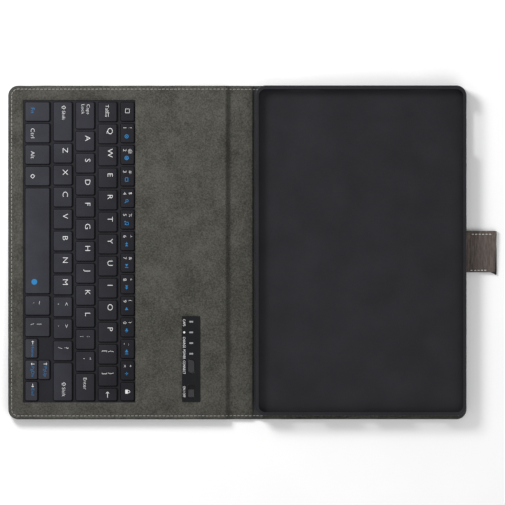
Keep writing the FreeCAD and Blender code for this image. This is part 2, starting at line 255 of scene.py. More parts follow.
# Hide grain: small rounded cells with fine cracks between, as pressed into imitation leather.
hide, hide_in, hide_out = new_group(
    "hide grain", [("Cells", "Float", 700.0), ("Softness", "Float", 0.5)],
    [("Height", "Float"), ("Cracks", "Float")])
place = spots(hide)
drift = put(hide, "TexNoise", {"Vector": place, "Scale": 220.0, "Detail": 2.0})
pushed = put(hide, "VectorMath", {0: drift.outputs["Color"], 1: (0.0012, 0.0012, 0.0012)},
             operation="MULTIPLY")
moved = put(hide, "VectorMath", {0: place, 1: pushed.outputs[0]}, operation="ADD")
cells = put(hide, "TexVoronoi", {"Vector": moved.outputs[0], "Scale": hide_in.outputs["Cells"],
                                 "Randomness": 0.9}, feature="DISTANCE_TO_EDGE")
domed = put(hide, "MapRange", {"Value": cells.outputs["Distance"], "From Min": 0.0,
                               "From Max": hide_in.outputs["Softness"]}, interpolation_type="SMOOTHSTEP")
crack = put(hide, "Math", {0: 1.0, 1: domed.outputs[0]}, operation="SUBTRACT")
hide.links.new(domed.outputs[0], hide_out.inputs["Height"])
hide.links.new(crack.outputs[0], hide_out.inputs["Cracks"])


def leather(name, light, dark, worn_colour, cells, depth, roughness):
    """Grained leather: speckled colour, pressed cells, darker cracks and rubbed edges."""
    material, tree, shader = new_finish(name, Specular_IOR_Level=0.42, Sheen_Weight=0.08, Sheen_Roughness=0.4)
    grain = put(tree, "Group", {"Cells": cells}, node_tree=hide)
    colours = put(tree, "Group", {"Light": light, "Dark": dark, "Clouds": 45.0, "Grain": 1500.0},
                  node_tree=speckle)
    rubbed = put(tree, "Group", {"Amount": 0.55}, node_tree=edge_wear)
    faded = mix_colours(tree, rubbed.outputs["Mask"], colours.outputs["Color"], worn_colour)
    gloss = put(tree, "MapRange", {"Value": grain.outputs["Cracks"], "To Min": roughness,
                                   "To Max": roughness + 0.22})
    bump = put(tree, "Bump", {"Height": grain.outputs["Height"], "Distance": depth, "Strength": 0.6})
    feed(tree, shader, Base_Color=faded, Roughness=gloss.outputs[0], Normal=bump.outputs[0])
    return material


skin_finish = leather("black grained skin", (0.021, 0.022, 0.024, 1), (0.011, 0.012, 0.013, 1),
                      (0.085, 0.083, 0.08, 1), 1300.0, 0.0001, 0.46)

# Each length joins two panels; these are the places along X where the lengths meet.
cuts = (-9.4, 2.4, 44.0)  # where one length ends and the next begins


def bend_with_case(piece):
    """Fix a piece where it lies, by baking its placement into its points."""
    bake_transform(piece)


skin_lengths = {
    "cover": (closed_length(edge_in / mm, cuts[0]), ["front_skin"]),
    "spine": (open_length(cuts[0], cuts[1]), ["spine_skin", "crease_skin"]),
    "easel": (open_length(cuts[1], cuts[2]), ["easel_skin"]),
    "back": (closed_length(edge_out / mm, cuts[2]), ["rear_skin"]),
}
for length, (sheet, stands_for) in skin_lengths.items():
    piece = new_piece("outer_skin_" + length, sheet, skin_finish)
    bend_with_case(piece)
    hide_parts(*stands_for)


# ---------------------------------------------------------------- suede lining
# Grey-brown brushed suede is glued over the boards and covers the inside.  It is cut out sharply for the
# keyboard and the control panel and pressed into both creases.  Its nap shows soft paler patches.  A narrow
# strip of it beside the tray takes the black skin's finish: painted shade for the deep gap by the tray wall.

lining_inset = 0.55
painted_shade_strip = (0.25, 5.0)
stitch_inset = 2.7
lining_height = [(-190, 7.0), (-21.3, 7.0), (-20.6, 6.85), (-20.0, 6.3), (-19.3, 5.3), (-18.6, 4.2),
                 (-17.9, 3.3), (-17.3, 2.82), (-16.7, 2.64), (-16.0, 2.62), (-15.4, 2.7), (-1.0, 2.7),
                 (-0.4, 2.6), (0.0, 2.35), (0.3, 1.7), (0.6, 1.5), (4.2, 1.45), (5.6, 1.7), (6.6, 2.5),
                 (7.4, 3.0), (170, 3.0)]
keyboard_hole = [(-175.2, -89.4), (-114.5, 116.3)]
panel_hole = [(-53.8, -39.9), (-114.0, -48.6)]


def marks(low, high, step, extra):
    """Positions from low to high, no further apart than step, that include the extra ones."""
    stops = sorted({low, high, *[e for e in extra if low < e < high]})
    found = []
    for a, b in zip(stops, stops[1:]):
        count = max(int(math.ceil((b - a) / step)), 1)
        found += [a + (b - a) * i / count for i in range(count)]
    return found + [high]


def inside(hole, x, y):
    """Whether a point lies inside a cut-out."""
    return hole[0][0] < x < hole[0][1] and hole[1][0] < y < hole[1][1]


def nap_height(x, y, from_edge):
    """Height of the suede: the board below, a shallow furrow along the stitching and a rolled edge."""
    height = between(lining_height, x)
    furrow = max(0.0, 1 - abs(from_edge - (stitch_inset - lining_inset)) / 0.8) * 0.22
    rolled = max(0.0, 1 - from_edge / 0.45) ** 2 * 0.33
    waves = noise.noise(Vector((x * 0.03, y * 0.03, 3.0))) * 0.06
    return height - furrow - rolled + (waves if height > 2.6 else 0.0)


def edge_distance(x, y, ends):
    """Distance in from the lining's edge, with its rounded corners at the closed ends."""
    half = far_side / mm - lining_inset
    radius = corner_radius / mm - lining_inset
    distance = half - abs(y)
    for end, sign in ends:
        in_x = (x - end) * sign
        distance = min(distance, in_x)
        if in_x < radius and half - abs(y) < radius:
            distance = radius - math.hypot(radius - in_x, radius - (half - abs(y)))
    return distance


def face_rank(face):
    """A number from a face's points, which keeps the faces in the same order on every run."""
    numbers = [v.index for v in face.verts]
    return min(numbers) * 1e5 + max(numbers)


def lining_length(from_x, to_x, holes=(), ends=()):
    """One length of suede with its cut-outs, whose cut edges turn down."""
    sheet = bmesh.new()
    half = far_side / mm - lining_inset
    near_edge = [0.15, 0.45, 0.8, 1.15, 1.55, 1.95, 2.4, 4.0, 6.5] + [1.0 + i * 0.5 for i in range(12)]
    folds = [x for x, z in lining_height if from_x < x < to_x]
    end_marks = [end + sign * d for end, sign in ends for d in near_edge]
    side_marks = [s * (half - d) for s in (-1, 1) for d in near_edge]
    xs = marks(from_x, to_x, 3.2, folds + end_marks + [h for hole in holes for h in hole[0]])
    ys = marks(-half, half, 4.0, side_marks + [h for hole in holes for h in hole[1]])
    grid = {}
    for i, x in enumerate(xs):
        for j, y in enumerate(ys):
            distance = edge_distance(x, y, ends)
            px, py = x, y
            if distance < 0:
                end, sign = ends[0]
                radius = corner_radius / mm - lining_inset
                centre = Vector((end + sign * radius, math.copysign(half - radius, y)))
                px, py = centre + (Vector((x, y)) - centre).normalized() * radius
            grid[i, j] = (Vector((px, py, nap_height(px, py, max(distance, 0.0)))) * mm, distance)
    points = {}
    for i in range(len(xs) - 1):
        for j in range(len(ys) - 1):
            corners = [(i, j), (i + 1, j), (i + 1, j + 1), (i, j + 1)]
            middle = ((xs[i] + xs[i + 1]) / 2, (ys[j] + ys[j + 1]) / 2)
            outside = all(grid[c][1] < 0 for c in corners)
            if outside or any(inside(hole, *middle) for hole in holes):
                continue
            for c in corners:
                if c not in points:
                    points[c] = sheet.verts.new(grid[c][0])
            sheet.faces.new([points[c] for c in corners])
    bmesh.ops.remove_doubles(sheet, verts=sheet.verts, dist=0.00002)
    turn_down(sheet, holes)
    return face_out(sheet)


lip_steps = ((0.12, 0.05), (0.2, 0.03), (1.2, 0.0))  # (down, into the hole) for each bend of a cut edge


def turn_down(sheet, holes):
    """Give every cut-out a rounded lip and a short wall down to the deck or panel."""
    for hole in holes:
        (x0, x1), (y0, y1) = [(a * mm, b * mm) for a, b in hole]
        rim = [e for e in sheet.edges if e.is_boundary and all(
            x0 - 1e-6 < v.co.x < x1 + 1e-6 and y0 - 1e-6 < v.co.y < y1 + 1e-6 for v in e.verts)]
        for drop, gap in lip_steps:
            made = bmesh.ops.extrude_edge_only(sheet, edges=rim)["geom"]
            rim = [g for g in made if isinstance(g, bmesh.types.BMEdge)]
            for v in {v for e in rim for v in e.verts}:
                inward = Vector(((x0 + x1) / 2 - v.co.x, (y0 + y1) / 2 - v.co.y, 0.0))
                v.co.z -= drop * mm
                on_x = min(abs(v.co.x - x0), abs(v.co.x - x1)) < 0.0002
                on_y = min(abs(v.co.y - y0), abs(v.co.y - y1)) < 0.0002
                v.co.x += math.copysign(gap * mm, inward.x) if on_x else 0.0
                v.co.y += math.copysign(gap * mm, inward.y) if on_y else 0.0
    if holes:
        sheet.verts.index_update()
        sheet.faces.sort(key=face_rank)


def suede():
    """Brushed suede: cloudy nap, fine fibres and a soft sheen."""
    material, tree, shader = new_finish("grey suede", Roughness=0.95, Specular_IOR_Level=0.15,
                                        Sheen_Weight=0.06, Sheen_Roughness=0.5,
                                        Sheen_Tint=(0.75, 0.73, 0.7, 1))
    nap = put(tree, "Group", {"Light": (0.081, 0.079, 0.068, 1), "Dark": (0.034, 0.033, 0.028, 1),
                              "Clouds": 60.0, "Grain": 900.0, "Grain Share": 0.62}, node_tree=speckle)
    strokes = put(tree, "Mapping", {"Vector": spots(tree), "Scale": (1.0, 0.75, 1.0),
                                    "Rotation": (0, 0, 0.5)})
    brushed = put(tree, "TexNoise", {"Vector": strokes.outputs[0], "Scale": 190.0, "Detail": 8.0,
                                     "Roughness": 0.78, "Distortion": 0.25})
    shade = put(tree, "MapRange", {"Value": brushed.outputs[0], "From Min": 0.3, "From Max": 0.7,
                                   "To Min": 0.84, "To Max": 1.16})
    tinted = put(tree, "VectorMath", {0: nap.outputs["Color"]}, operation="SCALE")
    tree.links.new(shade.outputs[0], tinted.inputs["Scale"])
    fibres = put(tree, "TexNoise", {"Vector": strokes.outputs[0], "Scale": 2600.0, "Detail": 3.0})
    depth = put(tree, "Math", {0: fibres.outputs[0], 1: nap.outputs["Height"]}, operation="ADD")
    bump = put(tree, "Bump", {"Height": depth.outputs[0], "Distance": 0.00012, "Strength": 0.7})
    feed(tree, shader, Base_Color=tinted.outputs[0], Normal=bump.outputs[0])
    return material


suede_finish = suede()
lining_ends = {"cover": [(edge_in / mm + lining_inset, 1)],
               "back": [(edge_out / mm - lining_inset, -1)]}
lining_lengths = {
    "cover": (lining_ends["cover"][0][0], cuts[0], [keyboard_hole, panel_hole], ["front_lining"]),
    "spine": (cuts[0], cuts[1], [], ["spine_lining", "crease_lining"]),
    "easel": (cuts[1], cuts[2], [], ["easel_lining"]),
    "back": (cuts[2], lining_ends["back"][0][0], [], ["rear_lining"]),
}
for length, (from_x, to_x, holes, stands_for) in lining_lengths.items():
    sheet = lining_length(from_x, to_x, holes, lining_ends.get(length, ()))
    piece = new_piece("suede_lining_" + length, sheet, suede_finish)
    # Painted shade: faces over the strip beside the tray get the black skin finish in place of suede.
    piece.data.materials.append(skin_finish)
    for face in piece.data.polygons:
        face.material_index = int(painted_shade_strip[0] * mm < face.center.x < painted_shade_strip[1] * mm)
    bend_with_case(piece)
    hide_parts(*stands_for)


# ---------------------------------------------------------------- stitching
# Pale grey thread is lockstitched round the whole case, 2.7 mm in from its edge.  Each stitch is a short
# rounded length of thread whose ends dive into the suede, with the same line showing underneath.

stitch_pitch = 3.0
thread_radius = 0.24
stitch_length = 2.45


def thread_finish(name, dark, light):
    """Twisted polyester thread with fine slanted strands."""
    material, tree, shader = new_finish(name, Roughness=0.8, Specular_IOR_Level=0.3)
    slant = put(tree, "Mapping", {"Vector": spots(tree), "Rotation": (0.0, 0.0, 0.8)})
    strands = put(tree, "TexWave", {"Vector": slant.outputs[0], "Scale": 900.0, "Distortion": 1.0})
    colour = mix_colours(tree, strands.outputs["Fac"], dark, light)
    bump = put(tree, "Bump", {"Height": strands.outputs["Fac"], "Distance": 0.00006})
    feed(tree, shader, Base_Color=colour, Normal=bump.outputs[0])
    return material


thread_rings, thread_sides = 7, 6


def sew(cloth, middle, along, up, length, radius, dive):
    """Add one stitch: a thread that bows up from one needle hole and down into the next."""
    across = along.cross(up).normalized()
    rings = []
    for i in range(thread_rings):
        share = i / (thread_rings - 1) * 2 - 1
        rise = radius * 0.9 - dive * abs(share) ** 3
        thick = radius * (1.0 - 0.25 * abs(share) ** 4)
        centre = middle + along * (share * length / 2) + up * rise
        rings.append([cloth.verts.new((centre + across * math.cos(t) * thick * 1.15
                                       + up * math.sin(t) * thick) * mm)
                      for t in (math.tau / thread_sides * k for k in range(thread_sides))])
    fill_rows(cloth, [ring + ring[:1] for ring in rings])
    cloth.faces.new(rings[0][::-1])
    cloth.faces.new(rings[-1])


def seam_points(path):
    """Even stitch places (middle, direction) along a path of points in mm."""
    reach = stitch_pitch / 2
    found = []
    for a, b in zip(path, path[1:]):
        leg = (b - a).length
        while reach <= leg:
            found.append((a + (b - a) * (reach / leg), (b - a).normalized()))
            reach += stitch_pitch
        reach -= leg
    return found


def seam_path(end_x, from_x):
    """The seam's line on one closed length: along a side, round two corners and back."""
    return [Vector((x - nx * stitch_inset, y - ny * stitch_inset, 0.0))
            for x, y, nx, ny in round_the_end(end_x, from_x)] + [
                Vector((from_x, -(far_side / mm - stitch_inset), 0.0))]


def sewn_length(paths):
    """All the stitches of one length of the case, on the lining and underneath."""
    cloth = bmesh.new()
    shaky = random.Random(7)
    for path in paths:
        for middle, along in seam_points(path):
            height = between(lining_height, middle.x)
            slope = between(lining_height, middle.x + 0.8) - between(lining_height, middle.x - 0.8)
            tilt = Vector((along.x, along.y, slope / 1.6 * along.x)).normalized()
            up = Vector((-tilt.z * along.x, -tilt.z * along.y, 1.0)).normalized()
            sway = Vector((-along.y, along.x, 0.0)) * shaky.uniform(-0.06, 0.06)
            on_lining = Vector((middle.x, middle.y, height - 0.2)) + sway
            sew(cloth, on_lining, tilt, up, stitch_length, thread_radius, 0.42)
            beneath = Vector((middle.x, middle.y, 0.2)) + sway
            sew(cloth, beneath, along, Vector((0, 0, -1)), stitch_length, 0.2, 0.3)
    return face_out(cloth)


thread = thread_finish("grey thread", (0.19, 0.185, 0.17, 1), (0.4, 0.39, 0.37, 1))
sides = [far_side / mm - stitch_inset, near_side / mm + stitch_inset]
sewn_lengths = {
    "cover": [seam_path(edge_in / mm, cuts[0])],
    "spine": [[Vector((cuts[0], y, 0)), Vector((cuts[1], y, 0))] for y in sides],
    "easel": [[Vector((cuts[1], y, 0)), Vector((cuts[2], y, 0))] for y in sides],
    "back": [seam_path(edge_out / mm, cuts[2])],
}
for length, paths in sewn_lengths.items():
    bend_with_case(new_piece("stitches_" + length, sewn_length(paths), thread))


# ---------------------------------------------------------------- keyboard deck
# The deck is a black moulded plate with a window for every key.  It clips over the key mechanism and
# lies just under the cut edge of the suede, so that only its narrow bars show between the keys.


gloss_change = 0.1


def moulded(name, light, dark, roughness, grain_scale=2200.0, grain_depth=0.00004, wear=0.4,
            worn_colour=(0.09, 0.09, 0.095, 1), **plain):
    """Moulded plastic: a fine spark-eroded texture, faint flow marks and slightly rubbed edges."""
    material, tree, shader = new_finish(name, **plain)
    colours = put(tree, "Group", {"Light": light, "Dark": dark, "Clouds": 35.0, "Grain": grain_scale},
                  node_tree=speckle)
    rubbed = put(tree, "Group", {"Amount": wear}, node_tree=edge_wear)
    faded = mix_colours(tree, rubbed.outputs["Mask"], colours.outputs["Color"], worn_colour)
    gloss = put(tree, "MapRange", {"Value": colours.outputs["Height"], "From Min": 0.3, "From Max": 0.7,
                                   "To Min": roughness - gloss_change / 2,
                                   "To Max": roughness + gloss_change / 2})
    bump = put(tree, "Bump", {"Height": colours.outputs["Height"], "Distance": grain_depth,
                              "Strength": 0.5})
    feed(tree, shader, Base_Color=faded, Roughness=gloss.outputs[0], Normal=bump.outputs[0])
    return material, tree, shader


def dress(node, material):
    """Give a piece of the frame its finish."""
    for place in nodes[node].material_slots:
        place.material = material


deck_finish = moulded("black deck plastic", (0.017, 0.0172, 0.021, 1), (0.011, 0.0112, 0.014, 1), 0.5,
                      worn_colour=(0.02, 0.02, 0.022, 1), Specular_IOR_Level=0.12)[0]
dress("keyboard_deck", deck_finish)


# ---------------------------------------------------------------- keycaps
# The 64 keycaps are matt dark grey plastic with a fine texture, made in a two-part mould, so their top
# edges are slightly rounded.  Finger grease makes the middles of the letter keys a little glossier.

key_names = sorted(name for name in nodes if name.startswith("key_") and name != "key_backplate")


def keycap_finish():
    """Matt cap plastic with glossier middles, and painted light: paler towards the typist, on the lamp's
    side.
    """
    material, tree, shader = moulded(
        "grey keycap plastic", (0.021, 0.021, 0.027, 1), (0.014, 0.014, 0.018, 1), 0.5, grain_scale=2600.0,
        grain_depth=0.00003, wear=0.7, worn_colour=(0.12, 0.12, 0.125, 1), Specular_IOR_Level=0.12)
    place = put(tree, "SeparateXYZ", {"Vector": spots(tree)})
    # Painted light: the colour is scaled up towards the typist, where the main lamp stands, and down away
    # from it.
    painted_light_falloff = put(tree, "MapRange", {"Value": place.outputs["X"], "From Min": -0.175, "From Max": -0.09,
                                    "To Min": 1.9, "To Max": 0.62})
    colour_before = shader.inputs["Base Color"].links[0].from_socket
    lamp_lit_colour = put(tree, "VectorMath", {0: colour_before}, operation="SCALE")
    tree.links.new(painted_light_falloff.outputs[0], lamp_lit_colour.inputs["Scale"])
    smears = put(tree, "TexNoise", {"Vector": spots(tree), "Scale": 85.0})
    gloss_before = shader.inputs["Roughness"].links[0].from_socket
    polished = put(tree, "MapRange", {"Value": smears.outputs[0], "From Min": 0.45, "From Max": 0.7,
                                      "To Min": 0.0, "To Max": -0.1})
    gloss = put(tree, "Math", {0: gloss_before, 1: polished.outputs[0]}, operation="ADD")
    feed(tree, shader, Base_Color=lamp_lit_colour.outputs[0], Roughness=gloss.outputs[0])
    return material


keycap_material = keycap_finish()
for name in key_names:
    dress(name, keycap_material)


# ---------------------------------------------------------------- key window lips
# Round each window of the deck lies a thin near-black lip, drawn up a little above the deck.  Its near-black
# colour and its extra width on the far side are painted shadow: the shade each cap casts away from the main
# lamp.

shadow_lip_finish = moulded("black lip painted as cap shadow", (0.0022, 0.0022, 0.003, 1), (0.0012, 0.0012, 0.0016, 1), 0.6,
                     Specular_IOR_Level=0.1)[0]
deck_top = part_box("keyboard_deck")[1].z / mm
lip_corner = 1.1
lip_width, far_side_shadow_width = 0.5, 0.85  # all round, and added on the far side
corner_signs = ((1, 1), (-1, 1), (-1, -1), (1, -1))


def caps_in(name):
    """Each cap of a node as (start along the row, centre up the row, width, depth), in reading order."""
    mesh = bmesh.new()
    mesh.from_mesh(nodes[name].data)
    bmesh.ops.remove_doubles(mesh, verts=mesh.verts, dist=1e-6)
    waiting = set(mesh.verts)
    found = []
    while waiting:
        island, edge = set(), [waiting.pop()]
        while edge:
            v = edge.pop()
            island.add(v)
            near = [e.other_vert(v) for e in v.link_edges]
            edge += [n for n in near if n in waiting]
            waiting.difference_update(near)
        xs = [v.co.x / mm for v in island]
        ys = [v.co.y / mm for v in island]
        found.append((-max(ys), (min(xs) + max(xs)) / 2, max(ys) - min(ys), max(xs) - min(xs)))
    mesh.free()
    return sorted(found)


shadow_lips = bmesh.new()
for name in key_names:
    for start, middle, width, depth in caps_in(name):
        half = Vector((depth / 2 - lip_corner, width / 2 - lip_corner))
        centre = Vector((middle, -(start + width / 2)))
        loops = []
        for quarter, (side_x, side_y) in enumerate(corner_signs):
            for k in range(5):
                turn = math.pi / 2 * (quarter + k / 4)
                out = Vector((math.cos(turn), math.sin(turn)))
                corner = centre + Vector((side_x * half.x, side_y * half.y))
                # Painted shadow: the lip reaches further on the far side, where each cap's shadow falls.
                lip = lip_width + far_side_shadow_width * max(0.0, out.x)
                stops = ((1.08, 0.01), (1.12 + lip * 0.7, 0.03), (1.1 + lip, 0.005))
                loops.append([shadow_lips.verts.new(Vector((*(corner + out * reach), deck_top + rise)) * mm)
                              for reach, rise in stops])
        fill_rows(shadow_lips, loops + loops[:1])
shadow_lip_piece = new_piece("key_shadow_lips", face_out(shadow_lips), shadow_lip_finish)
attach(shadow_lip_piece, "keyboard_cover")


# ---------------------------------------------------------------- key legends
# The legends are pad-printed on the caps: white for what a key types, blue for its second use.  Each is
# a thin film of ink.  Their tops point away from the typist, and signs that need no words are plain shapes.

ink_rise = 0.03


def ink(name, colour):
    """Slightly uneven printed ink."""
    material, tree, shader = new_finish(name, Specular_IOR_Level=0.35)
    patches = put(tree, "TexNoise", {"Vector": spots(tree), "Scale": 1800.0})
    thin = tuple(c * 0.72 for c in colour[:3]) + (1,)
    tone = mix_colours(tree, patches.outputs[0], thin, colour)
    gloss = put(tree, "MapRange", {"Value": patches.outputs[0], "To Min": 0.35, "To Max": 0.6})
    feed(tree, shader, Base_Color=tone, Roughness=gloss.outputs[0])
    return material


white_ink = ink("white ink", (0.78, 0.78, 0.78, 1))
blue_ink = ink("blue ink", (0.013, 0.19, 0.46, 1))
WHITE, BLUE = 0, 1
lettering = bpy.data.curves.new("lettering", "FONT")
lettering_object = bpy.data.objects.new("lettering", lettering)
lettering.resolution_u = 3
lettering.offset = -0.014


def typeset(text):
    """A word as flat faces: its points and its faces, in the letters' own units."""
    lettering.body = text
    flat = bpy.data.meshes.new_from_object(lettering_object)
    points = [v.co.copy() for v in flat.vertices]
    faces = [tuple(face.vertices) for face in flat.polygons]
    bpy.data.meshes.remove(flat)
    return points, faces


capital = max(p.y for p in typeset("H")[0])


class Print:
    """The printing on one body: flat shapes collected until they become one piece."""

    def __init__(self, height):
        self.height = height
        self.points, self.faces, self.inks = [], [], []

    def shape(self, outline, colour=WHITE, faces=None):
        """A flat shape from points (along the reading direction, up the letter) at this height."""
        first = len(self.points)
        self.points += [Vector((up, -along, self.height + ink_rise)) * mm for along, up in outline]
        for face in faces or [tuple(range(len(outline)))]:
            self.faces.append(tuple(first + i for i in face))
            self.inks.append(colour)

    def word(self, text, size, start, base, colour=WHITE, centred=False, narrow=1.14):
        """A word with capitals of this size, from its start, or about it, with its foot at base."""
        points, faces = typeset(text)
        scale = size / capital
        left = min(p.x for p in points)
        width = (max(p.x for p in points) - left) * scale * narrow
        shift = start - (width / 2 if centred else 0)
        outline = [((p.x - left) * scale * narrow + shift, p.y * scale + base) for p in points]
        self.shape(outline, colour, faces)

    def bar(self, a, b, width, colour=WHITE):
        """A stroke between two points."""
        a, b = Vector(a), Vector(b)
        side = (b - a).normalized().orthogonal() * width / 2
        self.shape([a + side, b + side, b - side, a - side], colour)

    def strokes(self, points, width=0.36, colour=WHITE, closed=False):
        """A line drawn through points."""
        for a, b in zip(points, points[1:] + (points[:1] if closed else [])):
            self.bar(a, b, width, colour)

    def disc(self, middle, radius, colour=WHITE, hole=0.0):
        """A dot, or a ring if it has a hole."""
        x, y = middle
        sides = 20
        turns = [math.pi / 10 * k for k in range(sides)]
        outer = [(x + radius * math.cos(t), y + radius * math.sin(t)) for t in turns]
        if not hole:
            return self.shape(outer, colour)
        inner = [(x + hole * math.cos(t), y + hole * math.sin(t)) for t in turns]
        rims = [(k, (k + 1) % sides, sides + (k + 1) % sides, sides + k) for k in range(sides)]
        self.shape(outer + inner, colour, rims)

    def finish(self, name, body, material_slot="keycap_plastic"):
        """Make the printed piece and let it ride on its body."""
        mesh = bpy.data.meshes.new(name)
        mesh.from_pydata([tuple(p) for p in self.points], [], self.faces)
        mesh.materials.append(white_ink)
        mesh.materials.append(blue_ink)
        mesh.polygons.foreach_set("material_index", self.inks)
        mesh.update()
        piece = bpy.data.objects.new(name, mesh)
        bpy.context.scene.collection.objects.link(piece)
        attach(piece, body)


cap_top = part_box("key_space")[1].z / mm


def arrow(printing, tip, tail, head, width):
    """A thin arrow from tail to tip."""
    tip, tail = Vector(tip), Vector(tail)
    along = (tip - tail).normalized()
    side = along.orthogonal() * head
    neck = tip - along * head
    printing.bar(tail, tip, width)
    printing.strokes([neck + side, tip, neck - side], width)


def blue_sign(printing, kind, x, y):
    """A plain blue sign about 3 mm wide, centred at x, y."""
    def dot(across, up, radius, hole=0.0):
        printing.disc((x + across, y + up), radius, BLUE, hole)

    def flat(*outline):
        printing.shape([(x + across, y + up) for across, up in outline], BLUE)

    def line(width, *points, closed=False):
        printing.strokes([(x + across, y + up) for across, up in points], width, BLUE, closed)

    if kind == "dim":
        dot(0, 0, 1.5, 1.0)
        dot(0, 0, 0.45)
    elif kind == "bright":
        dot(0, 0, 1.6, 1.0)
        dot(0, 0, 0.6)
    elif kind == "page":
        line(0.45, (-1.4, -1), (1.4, -1), (1.4, 1), (-1.4, 1), closed=True)
    elif kind == "find":
        dot(-0.3, 0.3, 1.1, 0.7)
        line(0.5, (0.5, -0.5), (1.4, -1.4))
    elif kind == "music":
        dot(-0.8, -1.1, 0.6)
        dot(1.2, -0.8, 0.6)
        line(0.4, (-0.4, -1), (-0.4, 1.2), (1.6, 1.5), (1.6, -0.7))
    elif kind == "back":
        flat((-0.1, -1.1), (-0.1, 1.1), (-1.6, 0))
        flat((1.5, -1.1), (1.5, 1.1), (0, 0))
    elif kind == "play":
        flat((-1.3, -1.2), (0.5, 0), (-1.3, 1.2))
        line(0.5, (1.2, -1.2), (1.2, 1.2))
    elif kind == "forward":
        flat((-1.5, -1.1), (0, 0), (-1.5, 1.1))
        flat((0.1, -1.1), (1.6, 0), (0.1, 1.1))
    elif kind == "quiet":
        flat((-1, -0.5), (-0.3, -0.5), (0.8, -1.3), (0.8, 1.3), (-0.3, 0.5), (-1, 0.5))
    elif kind == "louder":
        blue_sign(printing, "quiet", x - 0.5, y)
        line(0.4, (1.0, -0.8), (1.0, 0.8))
    elif kind == "loudest":
        blue_sign(printing, "louder", x - 0.3, y)
        line(0.4, (1.5, -1.2), (1.5, 1.2))
    elif kind == "clip":
        line(0.45, (-1.2, 0), (1.2, 0))
        line(0.45, (0, -1.2), (0, 1.2))


# The number row: digit and shifted sign at the left of each cap, and a small blue sign for its second
# use.  The first cap is blank but for a plain square.
number_row = [("1", "!", "dim"), ("2", "@", "bright"), ("3", "#", "page"), ("4", "$", "find"),
              ("5", "%", "music"), ("6", "^", "back"), ("7", "&", "play"), ("8", "*", "forward"),
              ("9", "(", "quiet"), ("0", ")", "louder"), ("-", "_", "loudest"), ("=", "+", "clip")]
printing = Print(cap_top)
number_caps = caps_in("key_row_1")
start, middle, width, depth = number_caps[0]
printing.strokes([(start + 5.0, middle - 1.5), (start + 8.0, middle - 1.5),
                  (start + 8.0, middle + 1.5), (start + 5.0, middle + 1.5)], 0.28, WHITE, True)
for (start, middle, width, depth), (digit, sign, second) in zip(number_caps[1:], number_row):
    printing.word(digit, 2.4, start + 2.8, middle - 3.2)
    printing.word(sign, 2.2, start + 2.8, middle + 1.2)
    blue_sign(printing, second, start + 9.5, middle - 0.6)
printing.finish("legends_row_1", "key_row_1")

printing = Print(cap_top)
start, middle, width, depth = caps_in("key_lock")[0]
x = start + width / 2
printing.shape([(x - 1.5, middle - 1.6), (x + 1.5, middle - 1.6), (x + 1.5, middle + 0.3),
                (x - 1.5, middle + 0.3)])
printing.strokes([(x - 0.9, middle + 0.2), (x - 0.9, middle + 1.3), (x - 0.4, middle + 1.8),
                  (x + 0.4, middle + 1.8), (x + 0.9, middle + 1.3), (x + 0.9, middle + 0.2)], 0.4)
printing.finish("legend_lock", "key_lock")

# The letter rows: capitals up and to the left of the middle, and signs in pairs.
letter_shift = 2.2
letter_rows = {
    "key_row_2": ["Q", "W", "E", "R", "T", "Y", "U", "I", "O", "P", "[{", "]}"],
    "key_row_3": ["A", "S", "D", "F", "G", "H", "J", "K", "L", ";:", "'\""],
    "key_row_4": ["Z", "X", "C", "V", "B", "N", "M", ",<", ".>", "/?"],
}
for name, legends in letter_rows.items():
    printing = Print(cap_top)
    for (start, middle, width, depth), legend in zip(caps_in(name), legends):
        if len(legend) == 1:
            printing.word(legend, 3.9, start + width / 2 - letter_shift, middle, centred=True)
        else:
            printing.word(legend[0], 2.9, start + width / 2 - letter_shift, middle - 3.4, centred=True)
            printing.word(legend[1], 2.9, start + width / 2 - letter_shift, middle + 1.4, centred=True)
    printing.finish("legends_" + name[4:], name)

# The space bar's blue dot and the two keys of small signs beside it.
space_dot = (22.4, -166.5)
printing = Print(cap_top)
printing.disc(space_dot, 2.2, BLUE)
printing.finish("legend_space", "key_space")
printing = Print(cap_top)
small_signs = (("`", "~"), ("\\", "|"))
for (start, middle, width, depth), (lower, upper) in zip(caps_in("key_row_5"), small_signs):
    printing.word(lower, 2.8, start + width / 2 - letter_shift, middle - 5.2, centred=True)
    printing.word(upper, 2.8, start + width / 2 - letter_shift, middle + 0.4, centred=True)
printing.finish("legends_row_5", "key_row_5")

# Named keys in small letters near the end of each cap: (text, size, start, foot above the middle, ink).
named_keys = {
    "key_fn": [("Fn", 2.8, 4.2, -5.0, BLUE)],
    "key_control": [("Ctrl", 2.8, 3.5, -5.0, WHITE)],
    "key_alt": [("Alt", 2.8, 4.4, -5.0, WHITE)],
    "key_caps": [("Caps", 2.3, 1.6, 1.2, WHITE), ("Lock", 2.3, 1.6, -2.8, WHITE)],
    "key_shift_left": [("Shift", 2.4, 6.4, -0.5, WHITE)],
    "key_shift_right": [("Shift", 2.4, 18.4, -0.5, WHITE)],
    "key_enter": [("Enter", 2.5, 3.0, -1.3, WHITE)],
    "key_tab": [("Tab", 2.5, 1.8, -1.6, WHITE)],
    "key_left": [("Home", 2.2, 4.6, 0.0, BLUE)],
    "key_down": [("PgDn", 2.2, 4.6, 0.0, BLUE)],
    "key_up": [("PgUp", 2.2, 4.6, 0.0, BLUE)],
    "key_right": [("End", 2.2, 5.0, 0.0, BLUE)],
}


def lift_arrow(printing, x, y):
    """The hollow arrow of a shift key."""
    printing.strokes([(x - 0.6, y - 1.3), (x - 0.6, y), (x - 1.5, y), (x, y + 1.5), (x + 1.5, y),
                      (x + 0.6, y), (x + 0.6, y - 1.3)], 0.3, WHITE, True)


def arrow_at(printing, start, middle, dx, dy):
    """The arrow of a cursor key, in front of its second word, pointing along dx, dy."""
    x, y = start + 2.6, middle + 1.1
    arrow(printing, (x + dx * 1.3, y + dy * 1.3), (x - dx * 1.3, y - dy * 1.3), 0.8, 0.36)


